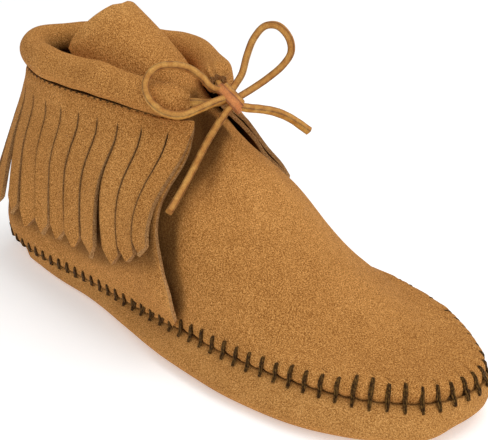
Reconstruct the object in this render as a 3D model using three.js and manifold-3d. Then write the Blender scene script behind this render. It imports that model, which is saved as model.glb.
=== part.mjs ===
// A soft-soled moccasin ankle boot in suede, a right shoe: a vamp and tongue in one sweep, a quarter lapped
// over it, a rolled collar with a thong tied through it, and a skirt of fringe under the roll.
// Millimetres, +Z up, toe towards +X, wearer's outer side towards -Y. The origin is on the floor, in the
// middle of the flat of the heel.
import * as THREE from 'three';
import { mergeVertices } from 'three/addons/utils/BufferGeometryUtils.js';
import Module from 'manifold-3d';

const wasm = await Module();
wasm.setup();

// Driving sizes of the last and of the cut pieces
const footLength = 250;
const heelBehindOrigin = 32;
const ballWidth = 90;
const collarHeight = 103.5;
const collarWidth = 55.4;
const collarDip = 4;
const rollDiameter = 13.4;
const seamHeightHeel = 9.3;
const seamHeightToe = 16.5;
const tongueTop = 128;
const tongueWidth = 37;
const tongueEnd = 22;
const tongueLean = 13;
const upperWall = 1.8;
const lapDepth = 8;
const soleThickness = 4.5;
const soleWall = 2.2;
const soleRim = 0.6;
const soleTurn = 4.5;
const soleFlat = 5;
const heelTuck = 13;
const ballSwell = 8;
const innerFullness = 0.36;
const toeSpring = 4;
const waistRise = 1.2;
const insoleThickness = 3;
const insoleEdge = 0.7;
const fringeThickness = 1.8;
const fringeDrop = 73;
const bandDepth = 11;
const slitWidth = 1.1;
const fringeGap = 0.7;
const hangGap = 0.6;
const flareHeel = 7;
const flareFront = 1;
const thongDiameter = 3.2;
const knotLength = 12;
const knotDepth = 7;
const clearance = 0.3;
const stripsASide = 12;

const rollRadius = rollDiameter / 2;
const quarterTop = collarHeight - rollRadius - clearance;
const halfBall = ballWidth / 2;
const ankle = collarWidth / ballWidth;

// Half widths round the foot as shares of half the ball width, at even steps of angle from heel to toe:
// the seam's outline on the outer and inner side, and the collar's on both as shares of half its width
const outline = [
  { step: 0, seamOuter: 0, seamInner: 0, collarOuter: 0.06, collarInner: -0.06 },
  { step: 1, seamOuter: 0.42, seamInner: 0.38, collarOuter: 0.42, collarInner: 0.28 },
  { step: 2, seamOuter: 0.6, seamInner: 0.65, collarOuter: 0.74, collarInner: 0.62 },
  { step: 3, seamOuter: 0.71, seamInner: 0.72, collarOuter: 0.92, collarInner: 0.9 },
  { step: 4, seamOuter: 0.88, seamInner: 0.78, collarOuter: 0.95, collarInner: 1.05 },
  { step: 5, seamOuter: 1, seamInner: 0.93, collarOuter: 0.91, collarInner: 0.87 },
  { step: 6, seamOuter: 0.88, seamInner: 0.77, collarOuter: 0.73, collarInner: 0.47 },
  { step: 7, seamOuter: 0.52, seamInner: 0.38, collarOuter: 0.49, collarInner: 0.07 },
  { step: 8, seamOuter: 0, seamInner: 0, collarOuter: 0.2, collarInner: -0.2 },
];

// Level sections of the upper from the seam upwards. height is a share of the quarter's top, heel, ridge and
// nose are shares of the foot length, the widths are shares of half the ball width, and round goes from the
// seam's outline to the collar's. ridge and vampWidth are the vamp's, nose and quarterWidth the quarter's, and
// ankle is the collar's width as a share of the ball's.
const levels = [
  { height: 0, heel: 0, ridge: 1, nose: 1, vampWidth: 1, quarterWidth: 1, round: 0 },
  { height: 0.05, heel: 0.003, ridge: 0.974, nose: 0.965, vampWidth: 0.985, quarterWidth: 1.01, round: 0 },
  { height: 0.11, heel: 0.005, ridge: 0.885, nose: 0.9, vampWidth: 0.955, quarterWidth: 1.01, round: 0 },
  { height: 0.2, heel: 0.012, ridge: 0.8, nose: 0.83, vampWidth: 0.93, quarterWidth: 1.01, round: 0.03 },
  { height: 0.35, heel: 0.028, ridge: 0.718, nose: 0.755, vampWidth: 0.89, quarterWidth: 0.98, round: 0.08 },
  { height: 0.515, heel: 0.044, ridge: 0.648, nose: 0.7, vampWidth: 0.84, quarterWidth: 0.93, round: 0.2 },
  { height: 0.67, heel: 0.058, ridge: 0.588, nose: 0.65, vampWidth: 0.71, quarterWidth: 0.83, round: 0.45 },
  { height: 0.845, heel: 0.073, ridge: 0.513, nose: 0.575, vampWidth: 0.53, quarterWidth: 0.67, round: 0.8 },
  { height: 1, heel: 0.086, ridge: 0.45, nose: 0.494, vampWidth: 0.42, quarterWidth: ankle, round: 1 },
  { height: 1.1, heel: 0.08, ridge: 0.41, nose: 0.494, vampWidth: 0.41, quarterWidth: ankle, round: 1 },
  { height: 1.19, heel: 0.05, ridge: 0.362, nose: 0.494, vampWidth: 0.41, quarterWidth: ankle, round: 1 },
  { height: 1.33, heel: -0.04, ridge: 0.27, nose: 0.494, vampWidth: 0.41, quarterWidth: ankle, round: 1 },
];

// Where the quarter's front edges stand on the outer and inner side, as shares of its top and the foot length
const frontEdge = [
  { height: 0, outer: 0.54, inner: 0.54 },
  { height: 0.1, outer: 0.552, inner: 0.545 },
  { height: 0.2, outer: 0.554, inner: 0.545 },
  { height: 0.33, outer: 0.533, inner: 0.534 },
  { height: 0.5, outer: 0.514, inner: 0.521 },
  { height: 0.7, outer: 0.503, inner: 0.509 },
  { height: 0.85, outer: 0.493, inner: 0.502 },
  { height: 1, outer: 0.48, inner: 0.478 },
];

const smooth = (low, high, value) => THREE.MathUtils.smoothstep(value, low, high);
const lerp = THREE.MathUtils.lerp;

// A curve through a table's column that never overshoots its rows
function column(rows, key, value) {
  const at = rows.map((row) => row[key]);
  const from = rows.map((row) => row[value]);
  const slope = at.slice(1).map((x, i) => (from[i + 1] - from[i]) / (x - at[i]));
  const tangent = at.map((x, i) => {
    if (i === 0) return slope[0];
    if (i === at.length - 1) return slope[i - 1];
    if (slope[i - 1] * slope[i] <= 0) return 0;
    return (2 * slope[i - 1] * slope[i]) / (slope[i - 1] + slope[i]);
  });
  return (x) => {
    const last = at.length - 2;
    let i = 0;
    while (i < last && x > at[i + 1]) i += 1;
    const span = at[i + 1] - at[i];
    const t = THREE.MathUtils.clamp((x - at[i]) / span, 0, 1);
    const t2 = t * t;
    const t3 = t2 * t;
    return (2 * t3 - 3 * t2 + 1) * from[i] + (t3 - 2 * t2 + t) * span * tangent[i]
      + (3 * t2 - 2 * t3) * from[i + 1] + (t3 - t2) * span * tangent[i + 1];
  };
}

// A signed half width round the whole outline: outer side negative, inner side positive
function roundOutline(outerKey, innerKey) {
  const steps = outline.length - 1;
  const knots = [];
  for (let i = 0; i < 2 * steps; i += 1) {
    knots.push(i <= steps ? -outline[i][outerKey] : outline[2 * steps - i][innerKey]);
  }
  const count = knots.length;
  return (angle) => {
    const place = (angle / Math.PI) * steps;
    const i = Math.floor(place);
    const t = place - i;
    const [a, b, c, d] = [-1, 0, 1, 2].map((k) => knots[(((i + k) % count) + count) % count]);
    return b + 0.5 * t * (c - a + t * (2 * a - 5 * b + 4 * c - d + t * (3 * (b - c) + d - a)));
  };
}

const seamShare = roundOutline('seamOuter', 'seamInner');
const collarShare = roundOutline('collarOuter', 'collarInner');
const level = {};
for (const key of ['heel', 'ridge', 'nose', 'vampWidth', 'quarterWidth', 'round']) {
  level[key] = column(levels, 'height', key);
}
const frontAlong = {
  outer: column(frontEdge, 'height', 'outer'),
  inner: column(frontEdge, 'height', 'inner'),
};

const fromHeel = (share) => share * footLength - heelBehindOrigin;
const seamHeight = (x) => lerp(seamHeightHeel, seamHeightToe, smooth(fromHeel(0.05), fromHeel(0.72), x));

const collarDrop = (x, y) => {
  const forward = smooth(fromHeel(0.33), fromHeel(0.5), x);
  return collarDip * forward * (1 - smooth(-0.2 * collarWidth, 0.1 * collarWidth, y));
};

// A point of the vamp's or the quarter's outer face: angle goes round from the heel by the outer side,
// height is above the floor at the collar and above the seam at the bottom
function skin(piece, angle, height) {
  const share = height / quarterTop;
  const heel = fromHeel(level.heel(share));
  const front = fromHeel(level[piece === 'vamp' ? 'ridge' : 'nose'](share));
  const x = heel + (front - heel) * (1 - Math.cos(angle)) / 2;
  const wide = piece === 'vamp' ? level.vampWidth(share) : level.quarterWidth(share);
  const ankleShare = piece === 'vamp' ? -Math.sin(angle) : collarShare(angle);
  const y = wide * halfBall * lerp(seamShare(angle), ankleShare, level.round(share));
  const dip = piece === 'vamp' ? 0 : collarDrop(x, y) * share ** 3;
  return new THREE.Vector3(x, y, height + seamHeight(x) * Math.max(0, 1 - share) - dip);
}

function skinNormal(piece, angle, height) {
  const step = 0.01;
  const low = Math.max(height - 1, 0);
  const round = skin(piece, angle + step, height).sub(skin(piece, angle - step, height));
  const up = skin(piece, angle, height + 1).sub(skin(piece, angle, low));
  const normal = round.cross(up).normalize();
  if (height <= 0) normal.setZ(0).normalize();
  return normal;
}

const offset = (point, normal, distance) => point.clone().addScaledVector(normal, distance);

// A closed solid between two grids of points, rows by columns. A cell that has() leaves out is a hole, each
// free edge gets a rim, and a wrapped grid joins its last column to its first.
function wallSolid(front, back, { wrap = false, has = () => true } = {}) {
  const rows = front.length;
  const columns = front[0].length;
  const positions = [...front.flat(), ...back.flat()].flatMap((point) => point.toArray());
  const index = [];
  const across = wrap ? columns : columns - 1;
  const at = (side, row, col) => side * rows * columns + row * columns + (col % columns);
  const quad = (a, b, c, d) => index.push(a, b, c, a, c, d);
  const cell = (row, col) => {
    const turned = wrap ? (col + across) % across : col;
    return row >= 0 && row < rows - 1 && turned >= 0 && turned < across && has(row, turned);
  };
  const rim = (row, col, nextRow, nextCol) => {
    quad(at(0, row, col), at(1, row, col), at(1, nextRow, nextCol), at(0, nextRow, nextCol));
  };
  for (let row = 0; row < rows - 1; row += 1) {
    for (let col = 0; col < across; col += 1) {
      if (!cell(row, col)) continue;
      quad(at(0, row, col), at(0, row, col + 1), at(0, row + 1, col + 1), at(0, row + 1, col));
      quad(at(1, row, col), at(1, row + 1, col), at(1, row + 1, col + 1), at(1, row, col + 1));
      if (!cell(row - 1, col)) rim(row, col, row, col + 1);
      if (!cell(row + 1, col)) rim(row + 1, col + 1, row + 1, col);
      if (!cell(row, col - 1)) rim(row + 1, col, row, col);
      if (!cell(row, col + 1)) rim(row, col + 1, row + 1, col + 1);
    }
  }
  return closed(positions, index);
}

// A closed solid from rings of points whose first and last rings have collapsed onto a line
function ringSolid(rings) {
  const columns = rings[0].length;
  const positions = rings.flat().flatMap((point) => point.toArray());
  const index = [];
  for (let row = 0; row < rings.length - 1; row += 1) {
    for (let col = 0; col < columns; col += 1) {
      const next = (col + 1) % columns;
      const [a, b] = [row * columns + col, row * columns + next];
      const [c, d] = [(row + 1) * columns + next, (row + 1) * columns + col];
      index.push(a, b, c, a, c, d);
    }
  }
  return closed(positions, index);
}

// Welds a mesh, drops the triangles that welding closed up, and turns its faces outwards
function closed(positions, index) {
  const loose = new THREE.BufferGeometry();
  loose.setAttribute('position', new THREE.Float32BufferAttribute(positions, 3));
  loose.setIndex(index);
  const geometry = mergeVertices(loose, 1e-4);
  const corners = geometry.index.array;
  const kept = [];
  for (let i = 0; i < corners.length; i += 3) {
    const [a, b, c] = [corners[i], corners[i + 1], corners[i + 2]];
    if (a !== b && b !== c && c !== a) kept.push(a, b, c);
  }
  const place = geometry.attributes.position;
  const [p, q, r] = [new THREE.Vector3(), new THREE.Vector3(), new THREE.Vector3()];
  let volume = 0;
  for (let i = 0; i < kept.length; i += 3) {
    p.fromBufferAttribute(place, kept[i]);
    q.fromBufferAttribute(place, kept[i + 1]);
    r.fromBufferAttribute(place, kept[i + 2]);
    volume += p.dot(q.cross(r));
  }
  geometry.setIndex(volume < 0 ? kept.reverse() : kept);
  return geometry;
}

const toManifold = (geometry) => new wasm.Manifold(new wasm.Mesh({
  numProp: 3,
  vertProperties: new Float32Array(geometry.attributes.position.array),
  triVerts: new Uint32Array(geometry.index.array),
}));

function fromManifold(solid) {
  const mesh = solid.getMesh();
  const geometry = new THREE.BufferGeometry();
  geometry.setAttribute('position', new THREE.Float32BufferAttribute(mesh.vertProperties, 3));
  geometry.setIndex([...mesh.triVerts]);
  return geometry;
}

const join = (geometries) => fromManifold(geometries.map(toManifold).reduce((sum, piece) => sum.add(piece)));

// A library shape's positions alone, welded and closed
function weld(shape) {
  const plain = shape.index ? shape.toNonIndexed() : shape;
  const positions = [...plain.attributes.position.array];
  return closed(positions, positions.slice(0, positions.length / 3).map((_, i) => i));
}

const grid = (rows, columns, point) => Array.from({ length: rows + 1 }, (_, row) => (
  Array.from({ length: columns + 1 }, (__, col) => point(row / rows, col / columns))));

// Vamp and tongue in one sweep: ribs run from the seam round the toe back to the arched end of the tongue
const wingAngle = Math.acos(1 - 2 * 0.42);
const ribRows = 22;
const ribColumns = 26;
const tongueHalf = tongueWidth / 2;
const ridgeRun = [
  { run: 0, height: 0 },
  { run: 0.08, height: 0.12 },
  { run: 0.3, height: 0.34 },
  { run: 0.6, height: 0.7 },
  { run: 1, height: tongueTop / quarterTop },
];
const ridgeHeight = column(ridgeRun, 'run', 'height');

function vampPoint(run, across) {
  const side = 2 * across - 1;
  const lean = side * Math.PI / 2;
  const endHeight = lerp(tongueTop - tongueHalf, tongueTop, Math.cos(lean));
  const endShare = endHeight / quarterTop;
  const heel = fromHeel(level.heel(endShare));
  const ridge = fromHeel(level.ridge(endShare));
  const end = tongueEnd + tongueLean * (1 - side ** 2);
  const reach = Math.min((end - heel) / (ridge - heel), 1);
  const endAngle = Math.PI - Math.acos(1 - 2 * reach);
  const height = ridgeHeight(run) * quarterTop * endHeight / tongueTop;
  const spread = lerp(Math.PI - wingAngle, endAngle / Math.max(Math.abs(side), 1e-6), run ** 2);
  return { angle: Math.PI + side * spread, height };
}

function makeVamp() {
  const outer = grid(ribRows, ribColumns, (run, across) => {
    const { angle, height } = vampPoint(run, across);
    return skin('vamp', angle, height);
  });
  const inner = grid(ribRows, ribColumns, (run, across) => {
    const { angle, height } = vampPoint(run, across);
    return offset(skin('vamp', angle, height), skinNormal('vamp', angle, height), -upperWall);
  });
  return wallSolid(outer, inner);
}

// Angle of the quarter's front edge at a height, and how far its wall stands off the vamp's
function frontAngle(side, height) {
  const share = height / quarterTop;
  const heel = fromHeel(level.heel(share));
  const nose = fromHeel(level.nose(share));
  const turn = Math.acos(1 - 2 * (fromHeel(frontAlong[side](share)) - heel) / (nose - heel));
  return side === 'outer' ? turn : -turn;
}

// Even steps along the collar's outline, as shares of the front edge's angle
const evenSteps = 100;
function collarRun(side) {
  const end = frontAngle(side, quarterTop);
  const run = [0];
  for (let i = 1; i <= evenSteps; i += 1) {
    const here = skin('quarter', (i / evenSteps) * end, quarterTop);
    const before = skin('quarter', ((i - 1) / evenSteps) * end, quarterTop);
    run.push(run[i - 1] + here.distanceTo(before));
  }
  return run;
}
const runs = { outer: collarRun('outer'), inner: collarRun('inner') };

function evenShare(side, u) {
  const run = runs[side];
  const want = Math.abs(u) * run[evenSteps];
  let i = 1;
  while (i < evenSteps && run[i] < want) i += 1;
  return (i - 1 + (want - run[i - 1]) / (run[i] - run[i - 1])) / evenSteps;
}

function quarterAngle(u, height) {
  const side = u < 0 ? 'outer' : 'inner';
  return evenShare(side, u) * frontAngle(side, height);
}

// A point at a distance outside the quarter's inner face: u goes from its outer front edge (-1) round the
// heel (0) to its inner front edge (1)
function quarterPoint(u, height, distance) {
  const angle = quarterAngle(u, height);
  return offset(skin('quarter', angle, height), skinNormal('quarter', angle, height), distance);
}

// The quarter is sewn in at the seam and clears the vamp above its lap
const quarterInner = (height) => lerp(-upperWall / 2, clearance, smooth(0, lapDepth, height));
const quarterOuter = (height) => quarterInner(height) + upperWall;

function makeQuarter() {
  const rows = 11;
  const columns = 36;
  const face = (standOff) => grid(rows, columns, (up, round) => {
    const height = up * quarterTop;
    return quarterPoint(2 * round - 1, height, standOff(height));
  });
  return wallSolid(face(quarterOuter), face(quarterInner));
}

// Rings round the sole: an inset of the seam's outline at a height
const ringColumns = 48;
const soleFloor = (x) => {
  const waist = smooth(fromHeel(0.3), fromHeel(0.42), x) * (1 - smooth(fromHeel(0.46), fromHeel(0.58), x));
  const spring = smooth(fromHeel(0.8), fromHeel(1), x);
  return waistRise * waist + toeSpring * spring;
};

function insetRing(inset, heightAt) {
  return Array.from({ length: ringColumns }, (_, i) => {
    const angle = (i / ringColumns) * 2 * Math.PI;
    const edge = skin('vamp', angle, 0);
    const normal = skinNormal('vamp', angle, 0);
    const point = offset(edge, normal, -inset(edge.x, edge.y));
    point.z = heightAt(point.x, edge.x);
    return point;
  });
}

function spineRing(inset, heightAt) {
  return Array.from({ length: ringColumns }, (_, i) => {
    const angle = (i / ringColumns) * 2 * Math.PI;
    const reach = footLength - 2 * inset;
    const x = fromHeel(0) + inset + reach * (1 - Math.cos(angle)) / 2;
    return new THREE.Vector3(x, 0, heightAt(x));
  });
}

// How far the sole's side swells outside the seam: tucked under the heel, full at the ball
const swellRows = [
  { along: 0, swell: -1.6 },
  { along: 0.05, swell: -1 },
  { along: 0.1, swell: -0.1 },
  { along: 0.35, swell: 0.34 },
  { along: 0.5, swell: 0.93 },
  { along: 0.7, swell: 1 },
  { along: 0.85, swell: 0.92 },
  { along: 0.95, swell: 1.1 },
  { along: 1, swell: 0.3 },
];
const swellShare = column(swellRows, 'along', 'swell');
const swell = (x, y) => {
  const share = swellShare((x + heelBehindOrigin) / footLength);
  const fullness = lerp(1, innerFullness, smooth(-0.3 * halfBall, 0.3 * halfBall, y));
  return share < 0 ? share * heelTuck * 0.5 : share * ballSwell * fullness;
};

const floorInset = (x, y) => Math.max(2 * soleWall, 1.5 * soleWall - swell(x, y));

// The sole's side from the flat upwards: up is a share of its height, the others are shares of its swell, of
// the round turn from the flat to the side, and of the rim that draws in under the seam
const soleSide = [
  { up: 0.12, swell: 1, turn: 0.56, rim: 0 },
  { up: 0.32, swell: 1, turn: 0.09, rim: 0 },
  { up: 0.58, swell: 0.85, turn: 0, rim: 0 },
  { up: 0.86, swell: 0.3, turn: 0, rim: 0.7 },
];
const spineInset = 2 * heelTuck;
const insideTop = (x) => soleFloor(x) + soleThickness;

function makeSole() {
  const rimHeight = (x, edgeX) => seamHeight(edgeX) - clearance;
  const part = (share) => (x, edgeX) => lerp(soleFloor(x), seamHeight(edgeX), share);
  const bottomInset = (x, y) => soleTurn + Math.max(-swell(x, y), -0.3 * swell(x, y));
  const rings = [
    spineRing(spineInset, soleFloor),
    insetRing((x, y) => bottomInset(x, y) + soleFlat, soleFloor),
    insetRing(bottomInset, soleFloor),
    ...soleSide.map((row) => (
      insetRing((x, y) => row.turn * soleTurn - row.swell * swell(x, y) - row.rim * soleRim, part(row.up)))),
    insetRing(() => -soleRim, rimHeight),
    insetRing(() => soleWall - soleRim, rimHeight),
    insetRing((x, y) => soleWall + Math.max(-swell(x, y) * 0.6, -swell(x, y) * 0.9), part(0.6)),
    insetRing(floorInset, insideTop),
    insetRing((x, y) => floorInset(x, y) + soleFlat, insideTop),
    spineRing(spineInset, insideTop),
  ];
  return ringSolid(rings);
}

function makeInsole() {
  const base = (x) => insideTop(x) + clearance;
  const top = (x) => base(x) + insoleThickness;
  const margin = (x, y) => floorInset(x, y) + 4 * clearance;
  const middle = (x, y) => floorInset(x, y) + soleFlat;
  const rings = [
    spineRing(spineInset, top),
    insetRing(middle, top),
    insetRing((x, y) => margin(x, y) + insoleEdge, top),
    insetRing(margin, (x) => base(x) + insoleThickness / 2),
    insetRing((x, y) => margin(x, y) + insoleEdge, base),
    insetRing(middle, base),
    spineRing(spineInset, base),
  ];
  return ringSolid(rings);
}

// The rolled collar, a tube on the quarter's top edge, gathered at both ends round the mouths of the thong
function collarPoint(u) {
  const angle = quarterAngle(u, quarterTop);
  const edge = skin('quarter', angle, quarterTop);
  const outward = skinNormal('quarter', angle, quarterTop).setZ(0).normalize();
  const point = offset(edge, outward, clearance);
  point.z = collarHeight - collarDrop(edge.x, edge.y);
  return point;
}

function makeRoll() {
  const steps = 38;
  const sides = 10;
  const mouth = thongDiameter / 2 + 2 * clearance;
  const face = (depth) => grid(steps, sides, (along, round) => {
    const t = 2 * along - 1;
    const u = 1.25 * t - 0.25 * t ** 3;
    const here = collarPoint(u);
    const ahead = collarPoint(Math.min(u + 0.01, 1)).sub(collarPoint(Math.max(u - 0.01, -1))).normalize();
    const outward = new THREE.Vector3(ahead.y, -ahead.x, 0);
    const radius = lerp(rollRadius, mouth + upperWall, smooth(0.93, 1, Math.abs(u))) - depth;
    const turn = round * 2 * Math.PI;
    const point = offset(here, outward, radius * Math.cos(turn));
    point.z += radius * Math.sin(turn);
    return point;
  }).map((row) => row.slice(0, sides));
  return wallSolid(face(0), face(upperWall), { wrap: true });
}

// The fringe: a band sewn under the roll, cut into strips that hang clear of the quarter and flare out.
// drop is how far a strip's tip hangs under the middle of the roll, as a share of the longest one's, from the
// heel (0) round to the front edges (1)
const stripDrops = [
  { round: 0, drop: 0.945 },
  { round: 0.3, drop: 1 },
  { round: 0.7, drop: 0.986 },
  { round: 1, drop: 0.78 },
];
const stripDrop = column(stripDrops, 'round', 'drop');
const fringeTop = quarterTop - clearance;
const nominalHeight = (height) => (height - seamHeightHeel) / (1 - seamHeightHeel / quarterTop);
const fringeFoot = nominalHeight(collarHeight - fringeDrop);
const fringeInner = (u, height) => {
  const down = Math.max(0, (fringeTop - height) / (fringeTop - fringeFoot));
  const flare = lerp(flareHeel, flareFront, smooth(0.1, 0.9, Math.abs(u)));
  return quarterOuter(height) + fringeGap + hangGap * smooth(0, 0.3, down) + flare * down ** 2.5;
};
const fringeOuter = (u, height) => fringeInner(u, height) + fringeThickness;

// Each strip is two cells wide, with a slit as the cell that follows; its tip narrows over the last rows
const stripRows = [
  { down: 0, width: 1 },
  { down: 0.33, width: 1 },
  { down: 0.66, width: 1 },
  { down: 0.86, width: 0.97 },
  { down: 0.95, width: 0.75 },
  { down: 1, width: 0.3 },
];

function makeFringe() {
  const strips = 2 * stripsASide;
  const pitch = 2 / strips;
  const slit = slitWidth / (runs.outer[evenSteps] + runs.inner[evenSteps]);
  const bandFoot = fringeTop - bandDepth;
  const bandRows = 1;
  const place = (row, strip, side) => {
    const middle = -1 + pitch * (strip + 0.5);
    const { down, width } = stripRows[Math.max(row - bandRows, 0)];
    const foot = nominalHeight(collarHeight - fringeDrop * stripDrop(Math.abs(middle)));
    const atEnd = strip % (strips - 1) === 0 && side * middle > 0;
    const half = atEnd && row <= bandRows ? pitch / 2 : pitch / 2 - slit;
    const height = row < bandRows ? lerp(fringeTop, bandFoot, row / bandRows) : lerp(bandFoot, foot, down);
    return { u: middle + side * half * width, height };
  };
  const face = (standOff) => Array.from({ length: bandRows + stripRows.length }, (_, row) => (
    Array.from({ length: 3 * strips }, (__, col) => {
      const { u, height } = place(row, Math.floor(col / 3), (col % 3) - 1);
      return quarterPoint(u, height, standOff(u, height));
    })));
  const has = (row, col) => row < bandRows || col % 3 < 2;
  return wallSolid(face(fringeOuter), face(fringeInner), { has });
}

// The thong's stretches, each along points chosen by hand
const thongStretches = {
  lead_left: [[85.2, -15.9, 99.8], [88.2, -13.4, 99.7], [92, -9.6, 99.3], [94.6, -6, 99.4],
    [96.4, -3.6, 100.2]],
  lead_right: [[85.4, 5, 103.5], [87.7, 2.4, 103.1], [91.3, -0.4, 102.8], [95.3, -2.2, 102.3]],
  loop_left: [[96, -4, 103.9], [92.8, -8, 105.6], [90, -10, 109.2], [85.1, -12, 112.4], [80.2, -17, 114.1],
    [76.3, -22, 113.2], [75.2, -26, 109.9], [76.6, -28.5, 105.9], [80, -29, 101.9], [85.9, -27.5, 98.5],
    [91.3, -24, 97.9], [94.7, -18, 99.6], [97.2, -12.5, 101.3], [98.2, -7.5, 101.8], [98.3, -4.5, 101.6]],
  loop_right: [[97.6, -1.5, 103.6], [97.4, 1.4, 105.6], [98.4, 4, 109.5], [98.5, 7, 116.7], [99.4, 10, 123.1],
    [102.4, 13, 127.9], [107.3, 15, 128.5], [111.5, 17, 124], [112.7, 17, 118.6], [110.5, 15, 113.3],
    [106.2, 11, 107.9], [102.9, 6, 104.2], [101.4, 1.8, 102.4], [100.4, -1.2, 101.2]],
  end_left: [[100.6, -4.6, 99.6], [100.4, -7.2, 97.4], [98.9, -10.5, 93], [97.4, -16, 85.7],
    [96.8, -23.5, 76.4], [98.1, -32, 70], [100.1, -41, 65.1]],
  end_right: [[102.4, -2.8, 98.9], [104.9, 0.5, 97.7], [106.5, 6, 96.2], [109.5, 12, 94.2], [112.8, 18, 90.7],
    [118.3, 24, 84.8]],
};

const knotCentre = [98.5, -3, 101.4];
const knotAxis = [0.85, -0.12, -0.51];

function makeKnot(room = 0) {
  const knot = new THREE.SphereGeometry(0.5, 12, 8);
  knot.scale(knotLength + 2 * room, knotDepth + 2 * room, knotDepth + 2 * room);
  knot.applyQuaternion(new THREE.Quaternion().setFromUnitVectors(
    new THREE.Vector3(1, 0, 0),
    new THREE.Vector3(...knotAxis).normalize(),
  ));
  knot.translate(...knotCentre);
  return weld(knot);
}

// Each stretch is cut back to stop just clear of the knot
function makeThong(points) {
  const knots = points.map((point) => new THREE.Vector3(...point));
  const path = new THREE.CatmullRomCurve3(knots, false, 'centripetal');
  const section = new THREE.Shape();
  section.absarc(0, 0, thongDiameter / 2, 0, 2 * Math.PI);
  const steps = Math.max(4, Math.ceil(path.getLength() / (2 * thongDiameter)));
  const settings = { steps, extrudePath: path, curveSegments: 4, bevelEnabled: false };
  const whole = toManifold(weld(new THREE.ExtrudeGeometry(section, settings)));
  return fromManifold(whole.subtract(toManifold(makeKnot(clearance))));
}

const suede = { color: 0xc18c52, roughness: 0.95, metalness: 0 };
const finishes = {
  suede: new THREE.MeshStandardMaterial(suede),
  sole: new THREE.MeshStandardMaterial({ ...suede, color: 0xb98449 }),
  lining: new THREE.MeshStandardMaterial({ ...suede, color: 0x8a6a4c }),
  thong: new THREE.MeshStandardMaterial({ color: 0xb5762f, roughness: 0.7, metalness: 0 }),
};

const boot = new THREE.Group();
boot.name = 'moccasin_boot';
function addPiece(name, geometry, finish) {
  const mesh = new THREE.Mesh(geometry, finishes[finish]);
  mesh.name = name;
  boot.add(mesh);
}

addPiece('sole', makeSole(), 'sole');
addPiece('insole', makeInsole(), 'lining');
addPiece('upper', join([makeVamp(), makeQuarter()]), 'suede');
addPiece('collar_roll', makeRoll(), 'suede');
addPiece('fringe', makeFringe(), 'suede');
for (const [name, points] of Object.entries(thongStretches)) {
  addPiece(`thong_${name}`, makeThong(points), 'thong');
}
addPiece('thong_knot', makeKnot(), 'thong');

export default boot;
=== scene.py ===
# %% [markdown]
# # A moccasin boot, right shoe
# A soft ankle boot sewn from suede: a sole turned up round the foot, a vamp gathered to it with coarse hand
# stitches and running on upwards as the tongue, a quarter lapped over the vamp, a rolled collar with a thong
# through it, and a skirt of fringe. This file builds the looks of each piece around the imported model, in
# millimetres that are turned into metres when a mesh is made.

# %% The frame
import math
import random

import bmesh
import bpy
import numpy as np
from mathutils import Matrix, Vector


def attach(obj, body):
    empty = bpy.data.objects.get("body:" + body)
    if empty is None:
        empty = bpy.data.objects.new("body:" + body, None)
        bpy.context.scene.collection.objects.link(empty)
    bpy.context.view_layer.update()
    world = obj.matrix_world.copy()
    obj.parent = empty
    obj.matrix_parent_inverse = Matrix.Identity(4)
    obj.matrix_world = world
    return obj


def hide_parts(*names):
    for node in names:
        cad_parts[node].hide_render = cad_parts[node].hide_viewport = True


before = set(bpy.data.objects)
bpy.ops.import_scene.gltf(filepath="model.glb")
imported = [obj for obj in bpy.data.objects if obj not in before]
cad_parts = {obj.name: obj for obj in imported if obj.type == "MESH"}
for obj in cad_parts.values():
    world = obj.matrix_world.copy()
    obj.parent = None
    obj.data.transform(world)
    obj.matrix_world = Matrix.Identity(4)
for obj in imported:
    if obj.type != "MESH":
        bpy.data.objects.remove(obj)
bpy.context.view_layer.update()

# %% [markdown]
# ## Camera
# The photo was taken from the boot's outer side and a little above, with a long lens. The place and turn of
# the camera were found by matching the seam's stitches and the sole's lower edge.

# %% Camera
MM = 0.001
view_from = Vector((358.2, -318.0, 240.5)) * MM
azimuth, elevation, roll = math.radians(38.6), math.radians(25.254), math.radians(1.257)
focal_pixels, photo_pixels, sensor = 1081.3, 488, 36
turned = (Matrix.Rotation(azimuth, 4, "Z") @ Matrix.Rotation(math.pi / 2 - elevation, 4, "X")
          @ Matrix.Rotation(roll, 4, "Z"))


def add_object(name, data):
    thing = bpy.data.objects.new(name, data)
    bpy.context.scene.collection.objects.link(thing)
    return thing


camera_data = bpy.data.cameras.new("camera")
camera_data.sensor_width = sensor
camera_data.lens = focal_pixels / photo_pixels * sensor
camera_data.clip_start, camera_data.clip_end = 0.05, 20
camera = add_object("camera", camera_data)
camera.matrix_world = Matrix.Translation(view_from) @ turned
bpy.context.scene.camera = camera
bpy.context.scene.view_settings.view_transform = "Standard"
print("lens in mm:", round(camera_data.lens, 2))

# %% [markdown]
# ## Sizes of the last
# The same named sizes and short tables as the solids have. A shoe is drawn as level sections round a last:
# where the heel and the front stand at each height, how wide the section is, and how its outline goes from
# the sole's to the ankle's.

# %% Sizes and tables, millimetres
foot_length = 250
heel_behind_origin = 32
ball_width = 90
half_ball = ball_width / 2
collar_height = 103.5
collar_width = 55.4
collar_dip = 4
roll_diameter = 13.4
roll_radius = roll_diameter / 2
seam_height_heel = 9.3
seam_height_toe = 16.5
tongue_top = 128
tongue_half = 37 / 2
tongue_end = 22
tongue_lean = 13
suede = 1.8
clearance = 0.3
quarter_top = collar_height - roll_radius - clearance
full_turn = 2 * math.pi
signs = {"outer": -1, "inner": 1}

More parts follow.
